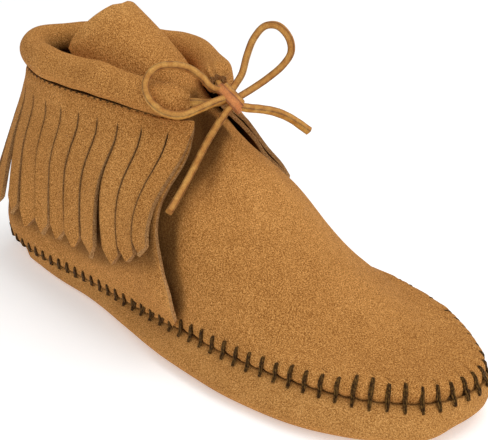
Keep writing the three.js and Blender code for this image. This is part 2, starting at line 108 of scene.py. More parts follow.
outline = {
    "seam_outer": [0, 0.42, 0.6, 0.71, 0.88, 1, 0.88, 0.52, 0],
    "seam_inner": [0, 0.38, 0.65, 0.72, 0.78, 0.93, 0.77, 0.38, 0],
    "collar_outer": [0.06, 0.42, 0.74, 0.92, 0.95, 0.91, 0.73, 0.49, 0.2],
    "collar_inner": [-0.06, 0.28, 0.62, 0.9, 1.05, 0.87, 0.47, 0.07, -0.2],
}
levels = {
    "height": [0, 0.05, 0.11, 0.2, 0.35, 0.515, 0.67, 0.845, 1, 1.1, 1.19, 1.33],
    "heel": [0, 0.003, 0.005, 0.012, 0.028, 0.044, 0.058, 0.073, 0.086, 0.08, 0.05, -0.04],
    "ridge": [1, 0.974, 0.885, 0.8, 0.718, 0.648, 0.588, 0.513, 0.45, 0.41, 0.362, 0.27],
    "nose": [1, 0.965, 0.9, 0.83, 0.755, 0.7, 0.65, 0.575, 0.494, 0.494, 0.494, 0.494],
    "vamp_width": [1, 0.985, 0.955, 0.93, 0.89, 0.84, 0.71, 0.53, 0.42, 0.41, 0.41, 0.41],
    "quarter_width": [1, 1.01, 1.01, 1.01, 0.98, 0.93, 0.83, 0.67, *[collar_width / ball_width] * 4],
    "round": [0, 0, 0, 0.03, 0.08, 0.2, 0.45, 0.8, 1, 1, 1, 1],
}
front_edge = {
    "height": [0, 0.08, 0.2, 0.33, 0.5, 0.65, 0.75, 0.85, 0.92, 1],
    "outer": [0.536, 0.557, 0.553, 0.533, 0.514, 0.505, 0.506, 0.504, 0.494, 0.476],
    "inner": [0.54, 0.545, 0.545, 0.532, 0.512, 0.5, 0.495, 0.492, 0.486, 0.477],
}


def smooth(low, high, value):
    t = np.clip((np.asarray(value, float) - low) / (high - low), 0, 1)
    return t * t * (3 - 2 * t)


def lerp(a, b, t):
    return a + (b - a) * t


def bell(value, centre, width):
    """1 at the centre, fading to both sides over the width."""
    return np.exp(-(((value - centre) / width) ** 2))


def arc_length(line):
    """How far along a line of points each of them lies."""
    return np.concatenate([[0], np.cumsum(np.linalg.norm(np.diff(line, axis=0), axis=1))])


def column(table, key, value):
    """A curve through a table's column that never overshoots its rows."""
    at, rows = np.array(table[key], float), np.array(table[value], float)
    slope = np.diff(rows) / np.diff(at)
    product = slope[:-1] * slope[1:]
    total = slope[:-1] + slope[1:]
    inner = np.where(product > 0, 2 * product / np.where(total == 0, 1, total), 0)
    tangent = np.concatenate([slope[:1], inner, slope[-1:]])

    def curve(x):
        x = np.asarray(x, float)
        i = np.clip(np.searchsorted(at, x, side="left") - 1, 0, len(at) - 2)
        span = at[i + 1] - at[i]
        t = np.clip((x - at[i]) / span, 0, 1)
        return ((2 * t**3 - 3 * t**2 + 1) * rows[i] + (t**3 - 2 * t**2 + t) * span * tangent[i]
                + (3 * t**2 - 2 * t**3) * rows[i + 1] + (t**3 - t**2) * span * tangent[i + 1])

    return curve


def round_outline(outer, inner):
    """A signed half width round the whole outline, from the heel by the outer side."""
    knots = np.array([-w for w in outline[outer]] + outline[inner][-2:0:-1])
    steps, count = len(outline[outer]) - 1, len(knots)

    def curve(angle):
        place = np.asarray(angle, float) / math.pi * steps
        i = np.floor(place).astype(int)
        t = place - i
        a, b, c, d = (knots[(i + k) % count] for k in (-1, 0, 1, 2))
        return b + 0.5 * t * (c - a + t * (2 * a - 5 * b + 4 * c - d + t * (3 * (b - c) + d - a)))

    return curve


seam_share = round_outline("seam_outer", "seam_inner")
collar_share = round_outline("collar_outer", "collar_inner")
level = {key: column(levels, "height", key) for key in levels if key != "height"}
front_along = {side: column(front_edge, "height", side) for side in signs}
print("levels:", len(levels["height"]))

# %% [markdown]
# ## The skin of the last
# Every cut piece of a shoe lies on one curved skin. A point of it is named by an angle, which goes round from
# the heel by the outer side, and by a height, so that pieces cut from it meet each other by construction.

# %% Skin, its normals and the seam
def from_heel(share):
    return share * foot_length - heel_behind_origin


def seam_height(x):
    return lerp(seam_height_heel, seam_height_toe, smooth(from_heel(0.05), from_heel(0.72), x))


def collar_drop(x, y):
    forward = smooth(from_heel(0.33), from_heel(0.5), x)
    return collar_dip * forward * (1 - smooth(-0.2 * collar_width, 0.1 * collar_width, y))


def level_x(curve, share):
    """Where a level section's heel, ridge or nose stands, at a share of the quarter's height."""
    return from_heel(level[curve](share))


def skin(piece, angle, height):
    angle, height = np.broadcast_arrays(np.asarray(angle, float), np.asarray(height, float))
    share = height / quarter_top
    vamp = piece == "vamp"
    heel, front = level_x("heel", share), level_x("ridge" if vamp else "nose", share)
    x = heel + (front - heel) * (1 - np.cos(angle)) / 2
    wide = level["vamp_width" if vamp else "quarter_width"](share)
    ankle = -np.sin(angle) if vamp else collar_share(angle)
    y = wide * half_ball * lerp(seam_share(angle), ankle, level["round"](share))
    dip = 0 if vamp else collar_drop(x, y) * np.clip(share, 0, None) ** 3
    z = height + seam_height(x) * np.clip(1 - share, 0, None) - dip
    return np.stack([x, y, z], -1)


def unit(v):
    return v / np.maximum(np.linalg.norm(v, axis=-1, keepdims=True), 1e-9)


def skin_normal(piece, angle, height):
    angle, height = np.broadcast_arrays(np.asarray(angle, float), np.asarray(height, float))
    round_way = skin(piece, angle + 0.01, height) - skin(piece, angle - 0.01, height)
    up_way = skin(piece, angle, height + 1) - skin(piece, angle, np.clip(height - 1, 0, None))
    normal = unit(np.cross(round_way, up_way))
    flat = normal * [1, 1, 0]
    return np.where((height <= 0)[..., None], unit(flat), normal)


pitch_wanted = 6.2
seam_turns = np.linspace(0, full_turn, 721)
seam_points = skin("vamp", seam_turns, 0)
seam_ways = unit(np.gradient(seam_points, axis=0))
seam_run = arc_length(seam_points)
stitch_count = 2 * round(seam_run[-1] / 2 / pitch_wanted)
stitch_pitch = seam_run[-1] / stitch_count


def seam_edge(angle):
    """The seam's points and its level normals at angles round the foot."""
    return skin("vamp", angle, 0), skin_normal("vamp", angle, 0)


def seam_place(angle):
    """Arc length along the seam at an angle, in stitches."""
    return np.interp(np.mod(angle, full_turn), seam_turns, seam_run) / stitch_pitch


def seam_foot(points, at_once=4000):
    """Arc length along the seam, in stitches, of the seam's point nearest to each point seen from above."""
    place = np.empty(len(points))
    for start in range(0, len(points), at_once):
        some = points[start:start + at_once, None, :2] - seam_points[None, :, :2]
        near = np.argmin((some**2).sum(-1), axis=1)
        beyond = (some[np.arange(len(near)), near] * seam_ways[near, :2]).sum(-1)
        place[start:start + at_once] = (seam_run[near] + beyond) / stitch_pitch
    return place


def above_seam(piece, angle, heights, lean=0.0):
    """Angles at which the skin stands straight inwards from one point of the seam, at several heights. lean moves
    them along the seam, towards the toe on the outer side, by that share of the height."""
    edge, way = skin("vamp", angle, 0), unit(skin("vamp", angle + 0.01, 0) - skin("vamp", angle - 0.01, 0))
    turn = np.full(len(heights), float(angle))
    for _ in range(8):
        off = (skin(piece, turn, heights) - edge) @ way - lean * heights
        slope = (skin(piece, turn + 0.005, heights) - skin(piece, turn - 0.005, heights)) @ way / 0.01
        turn = turn - np.clip(off / np.where(np.abs(slope) < 1, 1, slope), -0.1, 0.1)
    return turn


print("seam length in mm:", round(float(seam_run[-1])), "stitches:", stitch_count)

# %% [markdown]
# ## Making a piece from a flat grid
# A piece of leather starts flat, so each piece here starts as a flat grid too: its vertices are moved to the
# skin by a function of how far across and along they are. A Solidify modifier then gives it the real
# thickness, with the flesh side and the cut edge as materials of their own, and a Bevel softens the cut.

# %% From a flat grid to a piece
def soft_noise(points, size, seed, waves=14):
    """Smooth noise from sums of waves, about -1 to 1, for points in millimetres."""
    rng = np.random.default_rng(seed)
    total = np.zeros(points.shape[:-1])
    for _ in range(waves):
        way = unit(rng.normal(size=3)) / (size * rng.uniform(0.7, 1.6))
        total += np.sin(points @ way * full_turn + rng.uniform(0, full_turn))
    return total / 3.7


def into_mesh(bm, name):
    mesh = bpy.data.meshes.new(name)
    bm.to_mesh(mesh)
    bm.free()
    return mesh


def grid_mesh(name, rows, columns, place, keep=None, closed=False, shade=None):
    """A mesh from a flat grid. place(v, u) gives points in mm for arrays of v (rows) and u (columns), keep says
    which cells stay, and shade gives each vertex its shade."""
    bm = bmesh.new()
    bmesh.ops.create_grid(bm, x_segments=columns, y_segments=rows, size=0.5)
    bm.verts.ensure_lookup_table()
    flat = np.array([vert.co[:2] for vert in bm.verts]) + 0.5
    points = place(flat[:, 1], flat[:, 0])
    uv_layer = bm.loops.layers.uv.new("leather")
    shade_layer = bm.verts.layers.float.new("shade")
    shades = shade(points, flat[:, 1], flat[:, 0]) if shade else np.zeros(len(points))
    for face in bm.faces:
        for loop in face.loops:
            loop[uv_layer].uv = loop.vert.co[:2]
    if keep:
        middles = np.array([face.calc_center_median()[:2] for face in bm.faces]) + 0.5
        kept = keep(middles[:, 1] * rows, middles[:, 0] * columns)
        cut = [face for face, stays in zip(bm.faces, kept) if not stays]
        bmesh.ops.delete(bm, geom=cut, context="FACES")
    for vert in bm.verts:
        vert[shade_layer] = shades[vert.index]
        vert.co = Vector(points[vert.index]) * MM
    if closed:
        bmesh.ops.remove_doubles(bm, verts=bm.verts, dist=1e-6)
        bmesh.ops.dissolve_degenerate(bm, edges=bm.edges, dist=1e-7)
        bmesh.ops.recalc_face_normals(bm, faces=bm.faces)
    for face in bm.faces:
        face.smooth = True
    return into_mesh(bm, name)


def add_piece(name, mesh, nodes, slot, *materials):
    piece = add_object(name, mesh)
    for material in materials:
        mesh.materials.append(material)
    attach(piece, "root")
    if nodes:
        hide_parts(*nodes)
    print(name, "faces:", len(mesh.polygons))
    return piece


def give_thickness(piece, bevel, sharp_from=50):
    """A wall of suede inside the face, and a bevel on edges that turn by more than some degrees."""
    wall = piece.modifiers.new("thickness", "SOLIDIFY")
    wall.thickness = suede * MM
    wall.offset = -1
    wall.use_even_offset = False
    wall.material_offset = 1
    wall.material_offset_rim = 2
    edge = piece.modifiers.new("soft cut", "BEVEL")
    edge.width = bevel * MM
    edge.segments = 2
    edge.limit_method = "ANGLE"
    edge.angle_limit = math.radians(sharp_from)
    edge.material = -1


# %% [markdown]
# ## Shader maths
# A material is a small graph of nodes. Written as nodes it is hard to read, so one class wraps a socket and
# lets its maths be written as Python. Every node is made by one function, which takes the values or links of
# its sockets, by name or number, and its settings.

# %% The classes that write shaders
def fill(tree, node, inputs):
    """Gives a node's sockets their values, colours or links."""
    for key, value in inputs.items():
        socket = node.inputs[key.replace("_", " ") if isinstance(key, str) else key]
        if isinstance(value, Wire):
            tree.links.new(value.socket, socket)
        else:
            socket.default_value = (*value, 1) if isinstance(value, tuple) else value


def add_node(tree, kind, inputs, output=0, **settings):
    made = tree.nodes.new("ShaderNode" + kind)
    for key, value in settings.items():
        setattr(made, key, value)
    fill(tree, made, inputs)
    return Wire(tree, made.outputs[output])


class Wire:
    """One output socket of a material, on which + and * add Math nodes."""

    def __init__(self, tree, socket):
        self.tree, self.socket = tree, socket

    def __add__(self, other):
        return add_node(self.tree, "Math", {0: self, 1: other}, operation="ADD")

    def __mul__(self, other):
        return add_node(self.tree, "Math", {0: self, 1: other}, operation="MULTIPLY")

    __radd__, __rmul__ = __add__, __mul__

    def step(self, low, high):
        """0 below low, 1 above high, smooth between."""
        return add_node(self.tree, "MapRange", {0: self, 1: low, 2: high}, interpolation_type="SMOOTHSTEP")


class Finish:
    """A material under construction."""

    def __init__(self, name, **constants):
        self.material = bpy.data.materials.new(name)
        self.material.use_nodes = True
        self.tree = self.material.node_tree
        self.shader = self.tree.nodes["Principled BSDF"]
        fill(self.tree, self.shader, constants)

    def attribute(self, name):
        return add_node(self.tree, "Attribute", {}, "Fac", attribute_name=name)

    def noise(self, millimetres, detail, roughness=0.5):
        """Noise on Object coordinates, with lumps of about that many millimetres."""
        where = add_node(self.tree, "TexCoord", {}, "Object")
        scale = 1 / (millimetres * MM)
        return add_node(self.tree, "TexNoise", {"Vector": where, "Scale": scale, "Detail": detail,
                                                "Roughness": roughness})

    def mix(self, a, b, factor):
        """The colour that lies between colours a and b by a factor."""
        return add_node(self.tree, "Mix", {0: factor, 6: a, 7: b}, 2, data_type="RGBA")

    def bump(self, height, distance, strength):
        """Bump of a height field in 0 to 1 that stands distance millimetres tall."""
        return add_node(self.tree, "Bump", {"Height": height, "Distance": distance * MM, "Strength": strength})

    def done(self, **links):
        fill(self.tree, self.shader, links)
        return self.material


def tint(red, green, blue):
    """A colour as a paint chip reads it (10 to 255), turned into the linear values that the shader takes."""
    return tuple(((c / 255 + 0.055) / 1.055) ** 2.4 for c in (red, green, blue))


# %% [markdown]
# ## Suede
# Suede is leather sanded on its flesh side: a short nap that scatters light, so it has no gloss and looks
# mottled where the nap lies different ways. The colour therefore varies at four sizes, from hand-wide clouds
# to specks of a third of a millimetre, and a fine bump makes the nap. The vertex attribute "shade" is painted
# shade where it is positive: it darkens folds, gaps, the seam, the stitch holes and what lies under the fringe
# and the roll. Where it is negative it lightens rubbed edges.

# %% Suede and its flesh side
def make_suede(name, light, middle, dark, grain=1.0, nap=0.22):
    """Suede from three tints. grain scales the finest mottling, and nap is the bump's height in mm."""
    finish = Finish(name, Specular_IOR_Level=0.1)
    cloud = finish.noise(38, 3).step(0.32, 0.7)
    blotch = finish.noise(7, 3).step(0.3, 0.72)
    fibre = finish.noise(0.52, 1, 0.6).step(0.32, 0.7)
    speck = finish.noise(0.33, 1).step(0.34, 0.7)
    tone = cloud * 0.08 + blotch * 0.05 + fibre * (0.4 * grain) + speck * (0.42 * grain)
    # Half of every share comes off again, so that the tone stays about a half and the colour about the middle
    tone = tone + (0.5 - (0.08 + 0.05) / 2 - (0.4 + 0.42) / 2 * grain)
    colour = finish.mix(dark, middle, tone.step(0.1, 0.55))
    colour = finish.mix(colour, light, tone.step(0.5, 1.0))
    shade = finish.attribute("shade")
    # Painted shade: a positive "shade" turns the colour towards deep brown; a negative one lightens rubbed edges
    colour = finish.mix(colour, tuple(c * 0.25 for c in dark), shade.step(0.0, 1.0) * 0.8)
    colour = finish.mix(colour, tuple(min(1, c * 1.18) for c in light), (shade * -1).step(0.0, 1.0) * 0.6)
    return finish.done(Base_Color=colour, Roughness=0.88 + tone * 0.1,
                       Normal=finish.bump(fibre * 0.6 + speck * 0.4, nap, 0.8))


suede_face = make_suede("suede", tint(250, 188, 114), tint(202, 141, 74), tint(140, 87, 36))
suede_flesh = make_suede("suede flesh side", tint(170, 130, 88), tint(134, 98, 62), tint(94, 66, 40), nap=0.3)
suede_cut = make_suede("suede cut edge", tint(220, 176, 122), tint(188, 140, 88), tint(132, 90, 50), 1.2)
sole_face = make_suede("sole suede", tint(244, 186, 116), tint(202, 144, 78), tint(148, 96, 44), 0.95, 0.18)
lining = make_suede("worn lining", tint(128, 104, 84), tint(98, 76, 60), tint(66, 48, 38), nap=0.2)


def add_suede(name, mesh, node, bevel=0.35):
    """A piece cut from suede, with its face outside, its flesh side inside and its cut edge round the rim."""
    piece = add_piece(name, mesh, [node], "suede", suede_face, suede_flesh, suede_cut)
    give_thickness(piece, bevel)


print("suede finishes:", len([m for m in bpy.data.materials if "suede" in m.name]))

# %% [markdown]
# ## Thong, bow and knot
# One thong of square-cut leather runs hidden in the rolled collar and comes out of both of its mouths. Its
# two ends cross, are tied in a bow and hang down. As cords these are four stretches: each end as it runs from
# its mouth through the knot to its cut tip, and the two loops, which start and finish in the knot. Each
# follows listed points, and a short loop sweeps a rounded square along them.

# %% Leather of the thong
def make_thong_leather():
    finish = Finish("thong leather", Specular_IOR_Level=0.4)
    rim, flesh = finish.attribute("rim"), finish.attribute("flesh")
    streak = finish.noise(3.2, 3, 0.6).step(0.3, 0.7)
    grain = finish.noise(0.55, 2, 0.6).step(0.3, 0.72)
    colour = finish.mix(tint(240, 184, 92), tint(208, 142, 58), streak)
    colour = finish.mix(colour, tint(176, 106, 48), flesh * 0.5)
    colour = finish.mix(colour, tint(226, 124, 74), finish.attribute("grain_side"))
    colour = finish.mix(colour, tint(78, 42, 18), rim * (0.55 + streak * 0.4))
    colour = finish.mix(colour, tint(112, 64, 30), grain * 0.34)
    return finish.done(Base_Color=colour, Roughness=0.5 + flesh * 0.3 + grain * 0.12,
                       Normal=finish.bump(grain * 0.5 + streak * 0.5, 0.12, 0.7))


thong_leather = make_thong_leather()

# %% Routes of the thong, in millimetres
thong_width, thong_depth = 3.3 * MM, 2.9 * MM
routes = {
    "thong_near": [
        (85.2, -15.9, 99.8), (88.2, -13.4, 99.7), (92, -9.6, 99.3), (94.6, -6, 99.4), (96.4, -3.6, 100.2),
        (98.5, -2.8, 100.8), (100.4, -2.8, 100.2), (102.4, -2.8, 98.9), (104.9, 0.5, 97.7), (106.5, 6, 96.2),
        (109.5, 12, 94.2), (112.8, 18, 90.7), (118.3, 24, 84.8),
    ],
    "thong_far": [
        (85.4, 5, 103.5), (87.7, 2.4, 103.1), (91.3, -0.4, 102.8), (95.3, -2.2, 102.3), (98.5, -3.2, 101.5),
        (100.2, -4.2, 100), (100.6, -5.6, 98.6), (100.4, -7.2, 97.4), (98.9, -10.5, 93), (97.4, -16, 85.7),
        (96.8, -23.5, 76.4), (98.1, -32, 70), (100.1, -41, 65.1),
    ],
    "loop_near": [
        (96, -4, 103.9), (92.8, -8, 105.6), (90, -10, 109.2), (85.1, -12, 112.4), (80.2, -17, 114.1),
        (76.3, -22, 113.2), (75.2, -26, 109.9), (76.6, -28.5, 105.9), (80, -29, 101.9), (85.9, -27.5, 98.5),
        (91.3, -24, 97.9), (94.7, -18, 99.6), (97.2, -12.5, 101.3), (98.2, -7.5, 101.8), (98.3, -4.5, 101.6),
    ],
    "loop_far": [
        (97.6, -1.5, 103.6), (97.4, 1.4, 105.6), (98.4, 4, 109.5), (98.5, 7, 116.7), (99.4, 10, 123.1),
        (102.4, 13, 127.9), (107.3, 15, 128.5), (111.5, 17, 124), (112.7, 17, 118.6), (110.5, 15, 113.3),
        (106.2, 11, 107.9), (102.9, 6, 104.2), (101.4, 1.8, 102.4), (100.4, -1.2, 101.2),
    ],
}


def part_way(a, b, start, end, t):
    return a * (end - t) / (end - start) + b * (t - start) / (end - start)


def curve_through(points, step=0.4 * MM, pieces=24):
    """A smooth curve through points, centripetal so that it never swings out, cut in even steps."""
    points = np.array(points, float)
    ends = [2 * points[0] - points[1], *points, 2 * points[-1] - points[-2]]
    line = []
    for p0, p1, p2, p3 in zip(ends, ends[1:], ends[2:], ends[3:]):
        spans = np.linalg.norm(np.diff([p0, p1, p2, p3], axis=0), axis=1) ** 0.5
        t0, t1, t2, t3 = (0, *np.cumsum(spans))
        for t in np.linspace(t1, t2, pieces, endpoint=False):
            a1, a2, a3 = part_way(p0, p1, t0, t1, t), part_way(p1, p2, t1, t2, t), part_way(p2, p3, t2, t3, t)
            line.append(part_way(part_way(a1, a2, t0, t2, t), part_way(a2, a3, t1, t3, t), t1, t2, t))
    line = np.array([*line, points[-1]])
    run = arc_length(line)
    at = np.linspace(0, run[-1], round(run[-1] / step) + 1)
    return np.stack([np.interp(at, run, line[:, axis]) for axis in range(3)], -1)


def join_rings(bm, rings, closed=False):
    """Faces between rings of vertices, which make a tube with two caps or a closed loop."""
    count = len(rings[0])
    for low, high in [*zip(rings, rings[1:]), *([(rings[-1], rings[0])] if closed else [])]:
        for k in range(count):
            bm.faces.new((low[k], low[(k + 1) % count], high[(k + 1) % count], high[k]))
    if not closed:
        bm.faces.new(rings[0][::-1])
        bm.faces.new(rings[-1])


def sweep(name, *stretches, closed=False, around=16, square=0.55):
    """A mesh of rounded rectangles swept along lines. Each stretch is a line, a width, a depth, the way that its
    first side faces and its share of grain side. The vertices carry the attributes rim, flesh and grain_side."""
    bm = bmesh.new()
    layers = [bm.verts.layers.float.new(key) for key in ("rim", "flesh", "grain_side")]
    for line, width, depth, first_side, grain_side in stretches:
        side = np.array(first_side, float)
        rings = []
        for i, (point, way) in enumerate(zip(line, unit(np.gradient(line, axis=0)))):
            side = unit(side - way * (side @ way))
            thick = np.cross(way, side)
            wave = 1 + 0.035 * math.sin(i * 0.19) + 0.025 * math.sin(i * 0.47 + 1)
            ring = []
            for turn in np.linspace(0, full_turn, around, endpoint=False):
                c, s = math.cos(turn), math.sin(turn)
                x = abs(c) ** square * math.copysign(width / 2, c)
                y = abs(s) ** square * math.copysign(depth / 2, s)
                vert = bm.verts.new(point + side * (x * wave) + thick * y)
                rim, flesh = abs(math.sin(2 * turn)) ** 4, 1.0 if s < -0.3 else 0.55 if abs(s) <= 0.5 else 0.0
                for layer, share in zip(layers, (rim, flesh, grain_side)):
                    vert[layer] = share
                ring.append(vert)
            rings.append(ring)
        join_rings(bm, rings, closed)
    for face in bm.faces:
        face.smooth = len(face.verts) == 4
    bmesh.ops.recalc_face_normals(bm, faces=bm.faces)
    return into_mesh(bm, name)


# %% Knot
knot_centre = np.array((98.5, -3, 101.4)) * MM
strap_way = unit(np.array((0.8, 0.2, -0.55)))
to_viewer = unit(np.array((0.564, -0.707, 0.427)))
strap_out = unit(to_viewer - strap_way * (to_viewer @ strap_way))
bundle = np.cross(strap_way, strap_out)


def knot_turn(long, deep, shift, skew):
    """One turn of the strap round the bundle of thongs, as a closed line of points, from sizes in mm."""
    turn = np.linspace(0, full_turn, 72, endpoint=False)
    line = strap_way * (long * np.cos(turn))[:, None] + strap_out * (deep * np.sin(turn))[:, None]
    return knot_centre + (line + bundle * (shift + skew * np.cos(turn))[:, None]) * MM


strap = (knot_turn(6.4, 3.7, 0.4, 0.5), 4.2 * MM, 1.2 * MM, bundle, 0.62)
under_turn = (knot_turn(4.4, 2.2, -1.9, 0.4), 2.6 * MM, 2.2 * MM, bundle, 0.1)
knot = add_piece("bow_knot", sweep("bow_knot", strap, under_turn, closed=True), ["thong_knot"], "thong",
                 thong_leather)

# %% The four cords
upwards, towards_viewer = (0, 0, 1), (0.56, -0.7, 0.43)
cords = {
    "thong_near": (upwards, ["thong_lead_left", "thong_end_right"]),
    "thong_far": (upwards, ["thong_lead_right", "thong_end_left"]),
    "loop_near": (towards_viewer, ["thong_loop_left"]),
    "loop_far": (towards_viewer, ["thong_loop_right"]),
}
for name, points in routes.items():
    first_side, stands_for = cords[name]
    points = [tuple(round(mm * MM, 5) for mm in point) for point in points]
    route = curve_through(points)
    thong = add_piece(name, sweep(name, (route, thong_width, thong_depth, first_side, 0.0)), stands_for, "thong",
                      thong_leather)

# %% [markdown]
# ## Sole and insole
# The sole of a moccasin is one soft piece turned up round the foot. Here it is one grid bent into a bowl: its
# rows run from the middle of the underside out, up the side, over the rim and down inside again, and its two
# ends are merged round the heel. Between the stitches the rim is drawn in, so that it looks gathered.

# %% Sole
sole_thickness, sole_wall, sole_rim = 4.5, 2.2, 0.6
heel_tuck, ball_swell, inner_fullness = 13, 8, 0.36
toe_spring, waist_rise = 4, 1.2
seam_sag = 0.45
sole_rows, sole_columns = 17, 768
swell_rows = {"along": [0, 0.05, 0.1, 0.35, 0.5, 0.7, 0.85, 0.95, 1],
              "swell": [-1.6, -1, -0.1, 0.34, 0.93, 1, 0.92, 1.1, 0.3]}
swell_share = column(swell_rows, "along", "swell")


def sole_floor(x):
    waist = smooth(from_heel(0.3), from_heel(0.42), x) * (1 - smooth(from_heel(0.46), from_heel(0.58), x))
    return waist_rise * waist + toe_spring * smooth(from_heel(0.8), from_heel(1), x)


def swell(x, y):
    share = swell_share((x + heel_behind_origin) / foot_length)
    fullness = lerp(1, inner_fullness, smooth(-0.3 * half_ball, 0.3 * half_ball, y))
    return np.where(share < 0, share * heel_tuck * 0.5, share * ball_swell * fullness)


def stitch_above(x):
    """How far up the leather a stitch reaches, in mm: least at the heel and at the tip of the toe."""
    return lerp(5.2, 6.6, smooth(0, 90, x)) - 2.3 * smooth(188, 214, x)


def gather(place, sharp=0.55):
    """0 at each stitch and 1 half way between two stitches, for places along the seam in stitches."""
    return np.abs(np.sin(math.pi * place)) ** sharp


def sole_profile(edge, x, y):
    """Rows of the bowl: how far inside the seam each stands, and its height, for points of the seam."""
    out, wall, rim = -swell(x, y), sole_wall, sole_rim
    floor, top = sole_floor(x), seam_height(x)
    bottom = np.maximum(out, 0.3 * out) + 4.5
    inside = np.maximum(2 * wall, 1.5 * wall + out)
    rows = [
        (bottom + 4, floor), (bottom + 1, floor), (bottom - 1, floor), (out + 2.5, lerp(floor, top, 0.1)),
        (out + 0.9, lerp(floor, top, 0.22)), (out + 0.3, lerp(floor, top, 0.38)),
        (out * 0.85, lerp(floor, top, 0.56)), (out * 0.55 - rim * 0.4, lerp(floor, top, 0.74)),
        (out * 0.25 - rim * 0.8, lerp(floor, top, 0.88)), (-rim * 0.9 + 0 * x, top - 0.9),
        (-rim * 0.3 + 0 * x, top - 0.15), (wall * 0.5 + 0 * x, top - 0.35), (wall - rim + 0 * x, top - clearance),
        (wall + np.maximum(out * 0.6, out * 0.9), lerp(floor, top, 0.6)),
        (inside, floor + sole_thickness), (inside + 6, floor + sole_thickness),
    ]
    return rows[edge]


def spine_points(angle, lift):
    """Points along the middle of the sole, where the first and the last row of a bowl's grid are merged."""
    spine = 2 * heel_tuck
    x = from_heel(0) + spine + (foot_length - 2 * spine) * (1 - np.cos(angle)) / 2
    return np.stack([x, 0 * x, sole_floor(x) + lift], -1)


def sole_place(v, u):
    row = np.rint(v * sole_rows).astype(int)
    angle = u * full_turn
    edge, normal = seam_edge(angle)
    points = np.zeros((len(u), 3))
    for r in range(1, sole_rows):
        here = row == r
        inset, height = sole_profile(r - 1, edge[here, 0], edge[here, 1])
        near_seam = smooth(5, 9, r) * (1 - smooth(11, 13, r))
        between = gather(seam_place(angle[here]))
        points[here] = edge[here] - normal[here] * (inset + near_seam * 0.5 * (1 - between))[:, None]
        points[here, 2] = height - near_seam * seam_sag * between**2
    for r, lift in ((0, 0), (sole_rows, sole_thickness)):
        points[row == r] = spine_points(angle[row == r], lift)
    lumps = soft_noise(points, 26, 3) * 0.5 * smooth(2, 5, row) * (1 - smooth(9, 10, row))
    return points + normal * lumps[:, None]


def sole_shade(points, v, u):
    row = v * sole_rows
    between = gather(seam_place(u * full_turn))
    # Painted shade in the seam's groove along the rim, and a little beside each stitch on the sole's side
    return 0.9 * smooth(10.4, 11.6, row) + 0.3 * smooth(7.5, 9.5, row) * (1 - between) * (1 - smooth(10, 11, row))


sole_mesh = grid_mesh("sole_turned_up", sole_rows, sole_columns, sole_place, closed=True, shade=sole_shade)
add_piece("sole_turned_up", sole_mesh, ["sole"], "sole_suede", sole_face)

# %% Insole
insole_rows, insole_columns = 7, 192


def insole_place(v, u):
    row = np.rint(v * insole_rows).astype(int)
    angle = u * full_turn
    edge, normal = seam_edge(angle)
    x, y = edge[:, 0], edge[:, 1]
    margin = np.maximum(2 * sole_wall, 1.5 * sole_wall - swell(x, y)) + 4 * clearance
    base = sole_thickness + clearance
    rows = [(None, 3), (margin + 5, 3), (margin + 0.9, 3), (margin + 0.2, 2.6), (margin + 0.2, 0.6),
            (margin + 0.8, 0), (margin + 5, 0), (None, 0)]
    points = np.zeros((len(u), 3))
    for r, (inset, lift) in enumerate(rows):
        here = row == r
        if inset is None:
            points[here] = spine_points(angle, base + lift)[here]
        else:
            points[here] = (edge - normal * inset[:, None])[here]
            points[here, 2] = (sole_floor(x) + base + lift)[here]
    return points


insole_mesh = grid_mesh("sock_lining", insole_rows, insole_columns, insole_place, closed=True)
add_piece("sock_lining", insole_mesh, ["insole"], "lining", lining)

# %% [markdown]
# ## Vamp and tongue
# One piece of suede covers the toes and the instep and runs on upwards as the tongue. Its grid runs from the
# seam round the toe back to the domed end of the tongue. Gathering it to the sole makes a small pucker
# between every two stitches, which dies out about a thumb's width above the seam. The larger folds are
# given as soft troughs, each with its two ends, its width and its depth.

# %% Folds, in the boot's millimetres
# Each fold has its two ends, its width and its depth
vamp_folds = [
    ((81, 2, 99), (91, -12, 82), 4.6, 6.5),
    ((97, -7, 82), (102, -26, 67), 3.4, 2.7),
    ((98, -16, 77), (98, -31, 61), 3.2, 1.5),
    ((101, -5, 80), (107, -26, 62), 6, 0.8),
    ((98, -30, 66), (97, -40, 42), 5, 1.2),
    ((96, 38, 54), (92, 17, 84), 8, 5.5),
    ((150, -34, 26), (176, -22, 32), 9, 0.5),
    ((52, -14, 108), (74, -15, 96), 4, 0.6),
]


def fold_depth(points, folds):
    """How deep the listed folds press each point in, in mm."""
    total = np.zeros(points.shape[:-1])
    for start, end, width, depth in folds:
        start, end = np.array(start, float), np.array(end, float)
        way = end - start
        t = np.clip((points - start) @ way / (way @ way), 0, 1)
        away = np.linalg.norm(points - start - t[..., None] * way, axis=-1)
        total += depth * (1 - 0.75 * np.abs(2 * t - 1) ** 2) * bell(away, 0, width)
    return total


pucker_height, tuck_height = 6, 0.9


def sew_in(points, normal, height, move, pucker, tuck):
    """Leather moved along its normal, puckered between the stitches and tucked in under the seam."""
    between = gather(seam_foot(points))
    near_seam = np.exp(-((height / pucker_height) ** 1.5))
    move = move + (between - 0.4) * pucker * near_seam - tuck * bell(height, 0, tuck_height)
    points = points + normal * move[:, None]
    points[:, 2] -= seam_sag * between**2 * np.exp(-height / 2)
    return points


def seam_shade(points, height):
    """Painted shade: dark in the groove where the leather meets the sole, and a little darker round each stitch.
    """
    return 0.95 * bell(height, 0, 0.55) + 0.3 * bell(height, 0, 5.5) * (1 - gather(seam_foot(points)))


# %% Vamp and tongue
wing_share = 0.42
wing_angle = math.acos(1 - 2 * wing_share)
ridge_run = {"run": [0, 0.08, 0.3, 0.6, 1], "height": [0, 0.12, 0.34, 0.7, tongue_top / quarter_top]}
ridge_height = column(ridge_run, "run", "height")


